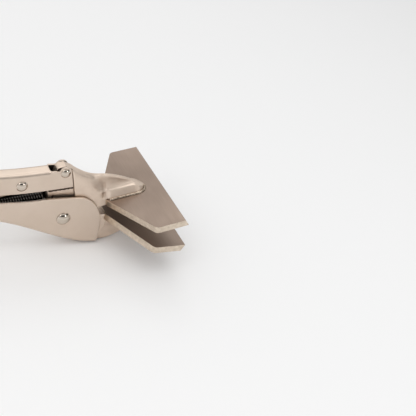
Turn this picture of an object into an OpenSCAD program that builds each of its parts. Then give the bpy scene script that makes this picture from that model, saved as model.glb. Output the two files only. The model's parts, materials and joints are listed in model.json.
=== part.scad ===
// Hand seamer: locking pliers whose two wide flat blades fold and flatten sheet metal edges.
// The fixed handle is below and the toggle lever above. +X points out of the blades, +Z is up.
// The origin lies on the lower blade's gripping face, midway along its straight ends.

/* [Blades] */
// Width of each blade
blade_w = 80; // [50:1:110]
// Thickness of each blade
blade_t = 4.4; // [3:0.1:6]
// Depth of the blade's straight ends
blade_end = 20.5; // [14:0.5:26]
// Depth of the blade from its gripping edge to its neck
blade_depth = 39; // [36:0.5:44]
// Width of the blade's neck
neck_w = 10.6; // [10:0.2:14]
// Rounding between the straight end and the tapered side
blade_round = 2; // [1:0.5:6]
// Set-back of the outer face's front edge behind the gripping edge
edge_slant = 2.2; // [0.5:0.1:4]

/* [Jaws] */
// Distance from the jaw pivot to the gripping edge
jaw_reach = 66.5; // [60:0.5:80]
// Opening of the jaws at the set gap, in degrees
jaw_open = 13.5; // [6:0.5:18]
// Thickness of the movable jaw's forging
jaw_t = 9; // [7:0.2:12]
// Radius of the movable jaw's boss round its pivot
boss_r = 8; // [6.5:0.1:9]
// Lever pivot on the closed movable jaw: distance ahead of the jaw pivot
ear_x = 4.5; // [4:0.5:8]
// Lever pivot on the closed movable jaw: height above the jaw pivot
ear_z = 31; // [29:0.5:36]
// Half length of the movable jaw's ear round the lever pivot
ear_r = 4.2; // [3.9:0.1:5]
// Distance from the jaw pivot back to the rear edge of the movable jaw's tail
tail_back = 7; // [6.5:0.1:8]
// Half width of an arm's foot on its blade
foot_hw = 5.4; // [4.8:0.1:6]
// Share of the foot's width left at the top of its straight side
foot_draft = 0.64; // [0.5:0.02:0.9]
// Height of the upper arm's ridge above the rear end of its blade
ridge_h = 21; // [19:0.5:23]
// Distance from the gripping edge back to the nose of an arm
nose_gap = 13; // [10:0.5:18]
// Height of an arm's straight side above its blade
side_rise = 5.5; // [4:0.1:7]
// Height of an arm's nose above its blade
nose_h = 1.8; // [1:0.1:4]
// Leg of the weld bead round an arm's foot
bead = 1.2; // [0.8:0.1:2]

/* [Fixed handle] */
// Sheet thickness of the fixed handle
handle_sheet = 1.8; // [1.4:0.1:2.2]
// Height of the cheeks' top edge above the jaw pivot
cheek_top = 14.6; // [14:0.1:16]
// Height of the handle's top edge behind the cheeks above the jaw pivot
rear_top = 13.4; // [12.5:0.1:14]
// Distance from the jaw pivot forward to the cheeks' front edge
cheek_front = 24.7; // [23:0.1:26]
// Depth of the web below the jaw pivot at the front
web_drop = 21; // [20:0.5:24]
// Height of the straight rear part's underside above the jaw pivot
web_rise = 1.5; // [0:0.1:2.5]
// Distance from the jaw pivot back to the handle's rear end
handle_back = 108; // [100:1:130]
// Length of the rolled sleeve at the rear end
sleeve_len = 13; // [8:0.5:18]
// Opening of the slot left along the top of the rolled sleeve, in degrees
sleeve_slot = 50; // [30:5:80]
// Outer bend radius at the web's corners
handle_bend = 3.2; // [2.4:0.1:4]

/* [Lever] */
// Sheet thickness of the lever
lever_sheet = 1.4; // [1:0.1:1.6]
// Outer bend radius at the lever's web
lever_bend = 2.4; // [2:0.1:3]
// Distance between the lever pivot and the link pivot
lever_arm = 25.5; // [22:0.5:30]
// Slope of the line from lever pivot to link pivot, in degrees
toggle_slope = 17; // [16:0.5:20]
// Angle by which the link pivot stands past dead centre, in degrees
past_centre = 0.8; // [0.3:0.1:1.5]
// Radius of the lever's ears round the lever pivot
lever_ear_r = 3.8; // [3.4:0.1:4.4]
// Distance by which the lever's web is cut back behind the lever pivot
web_cut = 9; // [8:0.1:12]
// Distance from the jaw pivot back to the lever's rear end
lever_back = 113; // [108:1:120]
// Radius of the lever's rear lower corner
lever_end_r = 9; // [5:0.5:11]

/* [Link and release] */
// Radius of the link's eye
link_eye_r = 4.8; // [4:0.1:5.2]
// Radius of the link's rounded rear end
link_end_r = 3.4; // [2.5:0.1:3.8]
// Release pivot: distance behind the jaw pivot
release_back = 86; // [82:0.5:90]
// Release pivot: height above the jaw pivot
release_z = 29; // [28:0.5:29.5]
// Radius of the release lever's boss
release_r = 4; // [3.4:0.1:4.2]
// Thickness of the release lever's plate
release_t = 4.4; // [3:0.2:5]
// Width of the release lever's finger pad
pad_w = 8.6; // [6:0.2:9]
// Thickness of the release lever's finger pad
pad_t = 2; // [1.4:0.1:2.6]

/* [Screw] */
// Diameter of the adjusting screw
screw_d = 6.6; // [5:0.1:7]
// Diameter of the screw's head
head_d = 13; // [11:0.5:16]
// Length of the screw's head
head_len = 15; // [10:0.5:20]
// Gap between handle end and screw head
head_gap = 5; // [2:0.5:10]
// Gap between the link's rounded end and the screw's tip
tip_gap = 1.5; // [1.4:0.1:2.5]

/* [Rivets] */
// Diameter of the jaw rivet
jaw_rivet_d = 6; // [5:0.1:7]
// Head diameter of the jaw rivet
jaw_head_d = 8.4; // [8:0.1:10]
// Diameter of the lever rivet
lever_rivet_d = 4; // [3.4:0.1:4.4]
// Head diameter of the lever rivet
lever_head_d = 5.8; // [5.4:0.1:6.6]
// Diameter of the link rivet
link_rivet_d = 4.8; // [4:0.1:5]
// Head diameter of the link rivet
link_head_d = 6.4; // [6.2:0.1:7.6]
// Diameter of the release rivet
release_rivet_d = 4; // [3:0.1:4.4]
// Head diameter of the release rivet
release_head_d = 5.8; // [5.2:0.1:6.8]
// Height of a rivet head as a share of its diameter
dome = 0.27; // [0.2:0.01:0.32]

/* [Spring] */
// Wire diameter of the spring
wire = 0.8; // [0.6:0.05:1]
// Outer diameter of the spring's coil
coil_d = 5; // [4:0.1:5.6]
// Number of curls
curls = 24; // [12:1:26]
// Distance from the jaw pivot back to the spring's anchor
anchor_back = 54; // [52:0.5:58]
// Height of the anchor's hole above the jaw pivot
anchor_z = 6.6; // [6.2:0.1:7.2]

/* [Fits] */
// Side clearance of each moving piece between the sheets that hold it
slip = 0.2; // [0.1:0.05:0.3]
// Radial clearance round rivets and the screw
pin_fit = 0.05; // [0.02:0.01:0.08]
// Gap between a weld bead and the pieces it joins
weld_gap = 0.08; // [0.06:0.01:0.12]
// Clearance between pieces that only come near each other
near_fit = 0.3; // [0.2:0.05:0.5]

/* [Hidden] */
$fn = 64;
// Places, in a side view with the jaw pivot at its origin
pivot_x = blade_end / 2 - jaw_reach;
blade_back = jaw_reach - blade_depth;
nose_x = jaw_reach - nose_gap;
function swung(p) = [p.x * cos(jaw_open) - p.y * sin(jaw_open), p.x * sin(jaw_open) + p.y * cos(jaw_open)];
function polar(p, r, a) = p + r * [cos(a), sin(a)];
lever_pin = swung([ear_x, ear_z]);
link_pin = polar(lever_pin, lever_arm, 180 + toggle_slope + past_centre);
channel_in = jaw_t + 2 * slip;
channel_out = channel_in + 2 * handle_sheet;
screw_z = web_rise + channel_out / 2;
link_len = (link_pin.y - screw_z) / sin(toggle_slope);
link_end = polar(link_pin, link_len, 180 + toggle_slope);
lever_in = jaw_t - 2 * lever_sheet;
tail_t = lever_in - 2 * slip;
release_pin = [-release_back, release_z];
tip_x = link_end.x - link_end_r - tip_gap;
head_x = -handle_back - head_gap;

// Side profiles of the two handles, as Bezier control values shared by a handle's contours
web_x = [cheek_front, 3, -27, -50];
web_z = [-web_drop, -web_drop - 1, web_rise - 0.5, web_rise];
cheek_end = -8;
cheek_fade = 16;
lever_x = [8, -28, -58, -lever_back];
lever_top = [for (rise = [3.9, -0.8, -7, 12]) lever_pin.y + rise];
lever_low = [for (drop = [9.3, 13.9, 19.5, -1.5]) lever_pin.y - drop];
// Rear end of the upper jaw's body, ahead of the ear, and height of its straight sides there and on the blade
shoulder_x = ear_x + lever_ear_r + near_fit;
shoulder_side = ear_z - 5;
side_h = blade_t + side_rise;
body_front = blade_back + 1;
// Ridge of the upper jaw from its shoulder to its nose, and keel of the lower arm from the handle to its nose
ridge_x = [shoulder_x, 27.5, 22, nose_x];
ridge_z = [ear_z + 1.6, ridge_h - 6.9, ridge_h + 9, blade_t + nose_h];
crest_hw = 1.2;
keel_x = [cheek_front + 0.1, 33, 42, nose_x];
keel_z = [web_drop, web_drop + 2.5, web_drop - 4.5, blade_t + nose_h];

// Spring: hole in the movable jaw, hole in the anchor, and the coil between them
hole_d = 2 * wire + 0.5;
hook_hole = [-tail_back + hole_d / 2 + 1.7, 15];
hook = swung(hook_hole);
anchor = [-anchor_back, anchor_z];
wire_gap = 0.35;
coil_r = (coil_d - wire) / 2;
hook_run = 5.6;
spring_len = norm(hook - anchor);
coil_len = spring_len - 2 * hook_run;
tab_r = hole_d / 2 + 1.6;

plated = [0.80, 0.74, 0.67];
dull = [0.60, 0.55, 0.50];
bright = [0.86, 0.84, 0.80];
dark = [0.42, 0.40, 0.38];

// Curves
function mix(a, b, t) = a + (b - a) * t;
function bezier(c, t) = c[0] * pow(1 - t, 3) + 3 * c[1] * t * pow(1 - t, 2) + 3 * c[2] * t * t * (1 - t)
    + c[3] * t * t * t;
function curve(c, n, from = 0, to = 1) = [for (i = [0:n]) bezier(c, mix(from, to, i / n))];
// Parameter at which a curve of steadily changing values reaches v
function param(c, v, a = 0, b = 1, n = 20) =
    let (m = (a + b) / 2, early = (bezier(c, m) < v) == (c[0] < c[3]))
    n == 0 ? m : param(c, v, early ? m : a, early ? b : m, n - 1);
function arc(c, r, a, b, n) = [for (i = [0:n]) polar(c, r, mix(a, b, i / n))];
function smooth(s) = let (t = min(1, max(0, s))) t * t * (3 - 2 * t);
function reversed(v) = [for (i = [len(v) - 1:-1:0]) v[i]];
// Outline of a bar with two round ends
function bar(p, pr, q, qr, n = 12) =
    let (d = q - p, a = atan2(d.y, d.x), s = acos((pr - qr) / norm(d)))
    concat(arc(p, pr, a + s, a + 360 - s, n), arc(q, qr, a - s, a + s, n));

// Places a side view on the tool, and swings the movable jaw to its opening
module from_pivot() { translate([pivot_x, 0, 0]) children(); }
module swing() { rotate([0, -jaw_open, 0]) children(); }
module slab(t) { rotate([90, 0, 0]) linear_extrude(t, center = true) children(); }
module hole(p, d) { translate([p.x, 0, p.y]) rotate([90, 0, 0]) cylinder(d = d, h = 40, center = true); }

// Closed skin over rings of points, each ring a list whose first half faces its second half
module skin(rings) {
    n = len(rings[0]);
    m = len(rings) - 1;
    sides = [for (i = [0:m - 1], k = [0:n - 1])
        let (a = i * n + k, b = i * n + (k + 1) % n) each [[a, b, b + n], [a, b + n, a + n]]];
    first = [for (k = [0:n / 2 - 2]) each [[k, n - 2 - k, k + 1], [k, n - 1 - k, n - 2 - k]]];
    last = [for (f = first) [for (i = [0, 2, 1]) f[i] + m * n]];
    polyhedron([for (r = rings) each r], concat(sides, first, last), convexity = 8);
}

// Half of a bent sheet's section, from the middle of its web to its free edge
function bent_half(w, r, web, edge) =
    let (s = sign(edge - web))
    concat([[0, web]],
        [for (k = [0:5]) [w - r + r * sin(18 * k), web + s * r * (1 - cos(18 * k))]],
        [[w, mix(web + s * r, edge, 0.5)], [w, edge]]);
function rolled_half(r, z, end) = [for (k = [0:8]) [r * sin(end * k / 8), z - r * cos(end * k / 8)]];
function sheet_ring(x, outer, inner) =
    let (m = len(outer) - 1)
    concat([for (k = [m:-1:1]) [x, -outer[k].x, outer[k].y]], [for (p = outer) [x, p.x, p.y]],
        [for (k = [m:-1:0]) [x, inner[k].x, inner[k].y]], [for (k = [1:m]) [x, -inner[k].x, inner[k].y]]);
function bent_ring(x, w, r, t, web, edge) =
    sheet_ring(x, bent_half(w, r, web, edge), bent_half(w - t, r - t, web + t * sign(edge - web), edge));

// Rivet with two domed heads, across the tool
module rivet(p, d, head, grip) {
    h = dome * head;
    ball = (head * head / 4 + h * h) / (2 * h);
    translate([p.x, 0, p.y]) rotate([90, 0, 0]) rotate_extrude() {
        translate([0, -grip / 2]) square([d / 2, grip]);
        for (side = [0, 1]) mirror([0, side]) intersection() {
            translate([0, grip / 2 + h - ball]) circle(ball);
            translate([0, grip / 2]) square([head / 2, h]);
        }
    }
}

// Lower pressed channel, rolled to a sleeve at its rear end
function cheek_edge(x) = mix(cheek_top, rear_top, smooth((cheek_end - x) / cheek_fade));
module fixed_handle() {
    w = channel_out / 2;
    sleeve_x = -handle_back + sleeve_len;
    roll_x = sleeve_x + 8;
    sleeve_end = 180 - sleeve_slot / 2;
    tab_foot = web_rise + handle_sheet / 2;
    outer = bent_half(w, handle_bend, web_rise, rear_top);
    inner = bent_half(w - handle_sheet, handle_bend - handle_sheet, web_rise + handle_sheet, rear_top);
    rolled_outer = rolled_half(w, screw_z, sleeve_end);
    rolled_inner = rolled_half(w - handle_sheet, screw_z, sleeve_end);
    bent = [for (i = [0:14]) let (x = bezier(web_x, i / 14))
        bent_ring(x, w, handle_bend, handle_sheet, bezier(web_z, i / 14), cheek_edge(x))];
    rolling = [for (i = [0:6]) let (s = i / 6, ease = smooth(s))
        sheet_ring(mix(roll_x, sleeve_x, s), mix(outer, rolled_outer, ease), mix(inner, rolled_inner, ease))];
    sleeve = [sheet_ring(-handle_back, rolled_outer, rolled_inner)];
    corner = [[cheek_front - 17.2, cheek_top], [cheek_front - 7.7, cheek_top], [cheek_front, 4],
        [cheek_front, -9]];
    beyond = [cheek_front + 5, cheek_top + 5];
    color(plated) from_pivot() difference() {
        union() {
            skin(concat(bent, rolling, sleeve));
            slab(handle_sheet) difference() {
                polygon(concat(arc(anchor, tab_r, 0, 180, 12),
                    [[anchor.x - tab_r, tab_foot], [anchor.x + tab_r, tab_foot]]));
                translate(anchor) circle(d = hole_d);
            }
        }
        slab(2 * channel_out) polygon(concat(curve(corner, 14),
            [[beyond.x, corner[3].y], beyond, [corner[0].x, beyond.y]]));
        hole([0, 0], jaw_rivet_d + 2 * pin_fit);
    }
}

// Half section of a jaw above its blade: a drafted foot, a full or hollow flank, and a narrow crest
function arm_half(x, top, side, crest, hollow, draft) =
    let (past = max(0, x - nose_x + foot_hw),
        wide = min(foot_hw, jaw_t / 2 - 0.05 + max(0, x - body_front)),
        foot = max(0.5, sqrt(max(0, wide * wide - past * past))),
        edge = foot * draft,
        high = min(side, mix(blade_t, top, 0.85)),
        tip = min(0.8 * edge, crest),
        full = [[edge, mix(high, top, 0.5)], [mix(tip, edge, 0.5), mix(high, top, 0.9)]],
        slack = [[mix(edge, tip, 0.6), high], [tip, mix(high, top, 0.5)]],
        flank = concat([[edge, high]], mix(full, slack, hollow), [[tip, mix(high, top, 0.9)]]))
    concat([[foot, blade_t]], curve(flank, 5), [[0.75 * tip, mix(high, top, 0.97)], [0.3 * tip, top]]);
function arm_ring(x, half) =
    concat([for (p = half) [x, -p.x, p.y]], [for (p = reversed(half)) [x, p.x, p.y]]);
function lower_ring(t) = let (x = bezier(keel_x, t))
    arm_ring(x, arm_half(x, bezier(keel_z, t), side_h, mix(3 * crest_hw, crest_hw, 0.6 * t), 1,
        mix(0.97, foot_draft, smooth((x - keel_x[0]) / 5))));
function upper_ring(t) =
    let (x = bezier(ridge_x, t), s = min(1, (x - shoulder_x) / (body_front - shoulder_x)))
    arm_ring(x, arm_half(x, bezier(ridge_z, t), mix(shoulder_side, side_h, s * (2 - s)),
        mix(2.5 * crest_hw, crest_hw, s * (2 - s)), smooth(2 * s - 1),
        mix(1, foot_draft, smooth((x - body_front) / 4 + 1))));

// Lower jaw: a tang held between the handle's cheeks, and the arm that carries the lower blade
module fixed_jaw() {
    skirt = handle_bend + near_fit / 2;
    tang = concat([[body_front, -side_h], [body_front, -blade_t], [blade_back - 0.1, -blade_t],
        [blade_back - 0.1, -slip], [0, -slip]],
        [for (i = [5:-1:0]) [bezier(web_x, i / 20) - 0.1, bezier(web_z, i / 20) + skirt]]);
    color(plated) from_pivot() union() {
        slab(channel_in) difference() {
            polygon(tang);
            circle(boss_r + near_fit);
        }
        mirror([0, 0, 1]) skin([for (i = [0:18]) let (s = i / 18) lower_ring(s * (2 - s))]);
    }
}

// One blade, gripping face on z = 0 and outer face above it
module blade() {
    corner = jaw_reach - blade_end;
    taper = [blade_depth - blade_end, (blade_w - neck_w) / 2];
    slant = blade_round * taper / norm(taper);
    half = concat([[jaw_reach, blade_w / 2]],
        [for (s = [0:1 / 6:1]) [corner, blade_w / 2] + pow(1 - s, 2) * [blade_round, 0] - s * s * slant],
        [[blade_back, neck_w / 2]]);
    intersection() {
        linear_extrude(blade_t) polygon(concat(half, reversed([for (p = half) [p.x, -p.y]])));
        slab(blade_w + 2) polygon([[blade_back - 1, -1], [jaw_reach + edge_slant / blade_t, -1],
            [jaw_reach - edge_slant * (1 + 1 / blade_t), blade_t + 1], [blade_back - 1, blade_t + 1]]);
    }
}
module lower_blade() { color(dull) from_pivot() mirror([0, 0, 1]) blade(); }
module upper_blade() { color(dull) from_pivot() swing() blade(); }

// Weld bead round an arm's foot
module weld_bead() {
    nose = [nose_x - foot_hw, 0];
    run = [for (i = [0:6]) [mix(body_front + 1, nose.x, i / 6), foot_hw]];
    around = [for (i = [1:11]) polar([0, 0], 1, 90 - 15 * i)];
    turn = [for (p = around) nose + foot_hw * p];
    path = concat(run, turn, [for (p = reversed(run)) [p.x, -p.y]]);
    out = concat([for (p = run) [0, 1]], around, [for (p = run) [0, -1]]);
    section = [[weld_gap, weld_gap], [bead, weld_gap], [0.85 * bead, 0.35 * bead], [0.6 * bead, 0.65 * bead],
        [0.3 * bead, 0.88 * bead], [weld_gap, bead]];
    skin([for (i = [0:len(path) - 1]) [for (s = section)
        [path[i].x + s.x * out[i].x, path[i].y + s.x * out[i].y, blade_t + s.y]]]);
}
module lower_weld_bead() { color(bright) from_pivot() mirror([0, 0, 1]) weld_bead(); }
module upper_weld_bead() { color(bright) from_pivot() swing() weld_bead(); }

module jaw_rivet() { color(bright) from_pivot() rivet([0, 0], jaw_rivet_d, jaw_head_d, channel_out); }
module lever_rivet() { color(bright) from_pivot() rivet(lever_pin, lever_rivet_d, lever_head_d, jaw_t); }
module link_rivet() { color(bright) from_pivot() rivet(link_pin, link_rivet_d, link_head_d, jaw_t); }
module release_rivet() {
    color(bright) from_pivot() rivet(release_pin, release_rivet_d, release_head_d, jaw_t);
}

// Threaded bush held in the rolled sleeve, with a shoulder against the sleeve's end
module screw_bush() {
    body_d = channel_in - near_fit;
    color(dark) from_pivot() translate([-handle_back, 0, screw_z]) rotate([0, 90, 0]) difference() {
        union() {
            cylinder(d = body_d, h = sleeve_len);
            translate([0, 0, -1.5]) cylinder(d = channel_out - 1, h = 1.5);
        }
        translate([0, 0, -2]) cylinder(d = screw_d + 2 * pin_fit, h = sleeve_len + 4);
    }
}

// Adjusting screw with a round-ended tip and a waisted head
module adjusting_screw() {
    r = screw_d / 2;
    head = head_d / 2;
    head_at = tip_x - head_x;
    outline = concat([[0, 0], [0.6 * r, 0]], arc([0.6 * r, 0.4 * r], 0.4 * r, -90, 0, 6), [[r, head_at],
        [0.75 * head, head_at], [head, head_at + 1.5], [head, head_at + head_len - 2],
        [0.8 * head, head_at + head_len], [0, head_at + head_len]]);
    color(bright) from_pivot() translate([tip_x, 0, screw_z]) rotate([0, -90, 0])
        rotate_extrude() polygon(outline);
}

// Upper jaw: boss between the handle's cheeks, thinned ear between the lever's, crowned body and arm
module movable_jaw() {
    neck_x = shoulder_x + 2;
    neck_top = bezier(ridge_z, param(ridge_x, neck_x)) - near_fit;
    body = [[0, slip], [blade_back - 0.1, slip], [blade_back - 0.1, blade_t], [body_front, blade_t],
        [body_front, blade_t + 0.2], [shoulder_x, boss_r + 4], [shoulder_x, boss_r + 1.5], [0, boss_r]];
    ear_front = [ear_x + 0.2 * ear_r, ear_z + 0.9 * ear_r];
    ear_rear = [ear_x - 0.95 * ear_r, ear_z + 0.86 * ear_r];
    tail = [[0, 0], [neck_x, boss_r + 2], [neck_x, neck_top], [shoulder_x, ridge_z[0] - near_fit],
        ear_front, ear_rear, [-tail_back + 2.3, ear_z - 8], [-tail_back, ear_z - 12], [-tail_back, 0]];
    color(plated) from_pivot() swing() difference() {
        union() {
            slab(jaw_t) circle(boss_r);
            slab(jaw_t) polygon(body);
            slab(tail_t) polygon(tail);
            skin([for (i = [0:24]) let (s = i / 24) upper_ring(mix(s, s * (2 - s), s))]);
        }
        hole([0, 0], jaw_rivet_d + 2 * pin_fit);
        hole([ear_x, ear_z], lever_rivet_d + 2 * pin_fit);
        hole(hook_hole, hole_d);
    }
}

// Toggle lever: upper pressed channel, web cut back behind the ears that straddle the jaw's ear
function lever_ring(t, web) =
    bent_ring(bezier(lever_x, t), jaw_t / 2, lever_bend, lever_sheet, web, bezier(lever_low, t));
module lever() {
    notch = lever_pin.y + 1.1;
    ear_web = lever_pin.y + lever_ear_r + lever_bend;
    cut_t = param(lever_x, lever_pin.x - web_cut + near_fit);
    slope = (lever_low[3] - lever_low[2]) / (lever_back + lever_x[2]);
    rear_low = lever_low[3] + (1 - slope) * lever_end_r;
    ears = [for (t = [0, cut_t / 2, cut_t - 0.01]) lever_ring(t, ear_web)];
    grip = [for (i = [0:19]) let (t = mix(cut_t, 1, i / 19)) lever_ring(t, bezier(lever_top, t))];
    color(plated) from_pivot() difference() {
        skin(concat(ears, grip));
        slab(2 * jaw_t) translate(lever_pin) difference() {
            union() {
                translate([-web_cut, notch - lever_pin.y]) square(40);
                rotate(jaw_open) translate([lever_ear_r, -40]) square(80);
            }
            circle(lever_ear_r);
        }
        slab(2 * jaw_t) difference() {
            translate([-lever_back - 1, rear_low - 2 * lever_end_r])
                square([lever_end_r + 1, 2 * lever_end_r]);
            translate([-lever_back + lever_end_r, rear_low]) circle(lever_end_r);
        }
        hole(lever_pin, lever_rivet_d + 2 * pin_fit);
        hole(link_pin, link_rivet_d + 2 * pin_fit);
        hole(release_pin, release_rivet_d + 2 * pin_fit);
    }
}

// Toggle link from the lever down to the screw's tip
module toggle_link() {
    color(dull) from_pivot() difference() {
        slab(tail_t) polygon(bar(link_pin, link_eye_r, link_end, link_end_r));
        hole(link_pin, link_rivet_d + 2 * pin_fit);
    }
}

// Release lever: nose over the link, finger pad between the handles
module release_lever() {
    nose = release_pin + [25, -3];
    tail = [release_pin - [0, release_r], release_pin - [6, release_r], release_pin - [10, 2 * release_r],
        [-lever_back + 2, release_z - 2 * release_r - 0.5]];
    pad = curve(tail, 6, 0.65, 1);
    color(dull) from_pivot() difference() {
        union() {
            slab(release_t) polygon(bar(release_pin, release_r, nose, 2));
            slab(release_t) polygon(concat(curve(tail, 12),
                [tail[3] + [4, 4.5], release_pin + [-1, 0.95 * release_r]]));
            slab(pad_w) polygon(concat(pad, reversed([for (p = pad) p + [0, pad_t]])));
        }
        hole(release_pin, release_rivet_d + 2 * pin_fit);
    }
}

// Tube swept along a path, its section carried without twist
function unit(v) = v / norm(v);
function tangent(p, i) = unit(p[min(i + 1, len(p) - 1)] - p[max(i - 1, 0)]);
function normals(p, i, n, done) = i == len(p) ? done :
    let (t = tangent(p, i), next = unit(n - (n * t) * t)) normals(p, i + 1, next, concat(done, [next]));
module tube(path, d, sides) {
    across = normals(path, 0, [0, 0, 1], []);
    skin([for (i = [0:len(path) - 1]) let (u = across[i], v = cross(tangent(path, i), u))
        [for (k = [0:sides - 1]) path[i] + d / 2 * (cos(360 * k / sides) * u + sin(360 * k / sides) * v)]]);
}

// Spring: its two ends pass through the holes of the jaw and the anchor
function along(u, y, z = 0) =
    let (d = (hook - anchor) / spring_len, p = anchor + d * u + [-d.y, d.x] * z) [p.x, y, p.y];
function coil_point(i, steps) = along(hook_run + coil_len * i / steps, -coil_r * cos(360 * curls * i / steps),
    coil_r * sin(360 * curls * i / steps));
spring_steps = 8 * curls;
hook_y = tail_t / 2 + wire / 2 + wire_gap;
tab_y = handle_sheet / 2 + wire / 2 + wire_gap;
spring_path = concat(
    [along(0, tab_y + wire), along(0, tab_y), along(0, -tab_y / 2), along(0.5, -tab_y - 0.1),
        along(2, -tab_y - 0.6), along(hook_run - 1.6, -coil_r - 0.1)],
    [for (i = [0:spring_steps]) coil_point(i, spring_steps)],
    [along(spring_len - 3.6, -hook_y - 0.1), along(spring_len - 1.6, -hook_y - 0.5),
        along(spring_len - 0.4, -hook_y + 0.1), along(spring_len, -hook_y / 2), along(spring_len, hook_y),
        along(spring_len, hook_y + wire)]);
spring_gap = min([for (i = [0:8:len(spring_path) - 1], j = [i + 6:len(spring_path) - 1])
    norm(spring_path[i] - spring_path[j])]) - wire;
module spring() {
    echo(str("least gap of the spring to itself ", spring_gap, " mm"));
    color(dark) from_pivot() tube(spring_path, wire, 6);
}

fixed_handle();
fixed_jaw();
lower_blade();
lower_weld_bead();
jaw_rivet();
screw_bush();
adjusting_screw();
spring();
movable_jaw();
upper_blade();
upper_weld_bead();
lever();
lever_rivet();
link_rivet();
release_rivet();
toggle_link();
release_lever();
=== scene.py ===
"""Looks of a locking hand seamer: nickel-plated sheet, forgings, blades, rivets, screw and spring.

Lengths are in metres unless a name ends in _mm. The frame's +X points out of the blades and +Z is up.
"""

from __future__ import annotations

import json
import logging
import math
from collections.abc import Callable, Sequence
from dataclasses import dataclass, field
from enum import Enum

import bpy
from mathutils import Matrix, Vector
from mathutils.bvhtree import BVHTree

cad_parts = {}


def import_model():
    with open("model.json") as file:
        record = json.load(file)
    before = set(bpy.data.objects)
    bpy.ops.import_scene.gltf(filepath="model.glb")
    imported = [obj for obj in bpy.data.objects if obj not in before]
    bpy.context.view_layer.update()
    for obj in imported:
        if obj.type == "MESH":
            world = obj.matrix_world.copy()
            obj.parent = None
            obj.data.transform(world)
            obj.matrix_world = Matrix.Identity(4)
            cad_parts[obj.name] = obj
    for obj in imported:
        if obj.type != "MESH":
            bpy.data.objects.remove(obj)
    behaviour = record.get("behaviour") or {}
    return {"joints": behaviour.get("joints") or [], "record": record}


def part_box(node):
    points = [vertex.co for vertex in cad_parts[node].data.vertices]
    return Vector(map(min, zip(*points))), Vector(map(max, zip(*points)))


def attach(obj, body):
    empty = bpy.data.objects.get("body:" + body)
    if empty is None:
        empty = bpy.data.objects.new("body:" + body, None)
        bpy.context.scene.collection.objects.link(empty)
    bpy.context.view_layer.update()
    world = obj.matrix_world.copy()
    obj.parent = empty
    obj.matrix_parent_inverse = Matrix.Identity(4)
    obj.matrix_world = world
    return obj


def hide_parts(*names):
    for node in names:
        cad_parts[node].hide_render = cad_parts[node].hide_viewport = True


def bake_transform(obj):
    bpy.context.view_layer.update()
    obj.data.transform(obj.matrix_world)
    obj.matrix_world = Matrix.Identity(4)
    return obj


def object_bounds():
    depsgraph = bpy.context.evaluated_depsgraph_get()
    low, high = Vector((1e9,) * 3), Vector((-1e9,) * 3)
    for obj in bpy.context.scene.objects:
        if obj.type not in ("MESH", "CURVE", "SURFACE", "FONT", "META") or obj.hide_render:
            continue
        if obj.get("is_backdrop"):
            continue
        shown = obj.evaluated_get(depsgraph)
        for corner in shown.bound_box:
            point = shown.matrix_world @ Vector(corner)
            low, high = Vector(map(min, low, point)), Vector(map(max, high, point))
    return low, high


LOG = logging.getLogger("seamer")
MM = 0.001

# Directions in the frame
REARWARDS = Vector((-1.0, 0.0, 0.0))
ACROSS = Vector((0.0, 1.0, 0.0))
UP = Vector((0.0, 0.0, 1.0))

# Short names of types
Triple = tuple[float, float, float]
Span = tuple[float, float]
Profile = list[Span]
Piece = bpy.types.Object
Face = bpy.types.MeshPolygon
Socket = bpy.types.NodeSocket

# Patterns that the finishes share
GRAIN_RANGE = (0.25, 0.75)
GRAIN_DETAIL = 5.0
PATCH_RANGE = (0.3, 0.7)
PATCH_DETAIL = 3.0
BUMP_STRENGTH = 0.6
WORN_RANGE = (0.51, 0.56)
WORN_GAIN = 1.25
# Painted shade: ambient occlusion within NOOK_MM darkens the colour towards a dark tint in nooks, seams and
# round the rivets' heads
NOOK_MM = 2.5
NOOK_RANGE = (0.25, 0.8)
NOOK_RAYS = 8
NOOK_SHADE_TINT = (0.07, 0.05, 0.036)
SCRATCH_MM = 0.35
SCRATCH_STRETCH = (0.02, 1.0, 1.0)
SCRATCH_RANGE = (0.62, 0.72)
SCRATCH_DETAIL = 2.0
SCRATCH_ROUGHNESS = 0.2

# Places of a colour mix's sockets
MIX_SHARE = 0
MIX_FIRST = 6
MIX_SECOND = 7
MIX_RESULT = 2

# Tolerances of mesh work, with angles in degrees
COPY_MERGE_MM = 0.002
SPIN_MERGE_MM = 0.001
SMOOTHING = 0.5
FLAT_ANGLE = 1.0
BEVEL_ANGLE = 40.0
BEVEL_STEPS = 3
BEVEL_CREASE = 35.0
LARGE_FACE_WEIGHT = 100


class Grain(Enum):
    """Ways in which a plated surface breaks up its highlight, as stretches of a noise along X, Y and Z."""

    ROLLED = (0.05, 1.0, 0.6)
    FORGED = (1.0, 1.0, 1.0)
    GROUND = (1.0, 0.05, 1.0)
    POLISHED = (0.7, 0.7, 0.7)


class Ramp(Enum):
    """Ways to go from one end of a range to the other."""

    STRAIGHT = "LINEAR"
    SOFT = "SMOOTHSTEP"


class Joined(Enum):
    """Ways to make one value of two."""

    SUM = "ADD"
    PRODUCT = "MULTIPLY"


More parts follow.
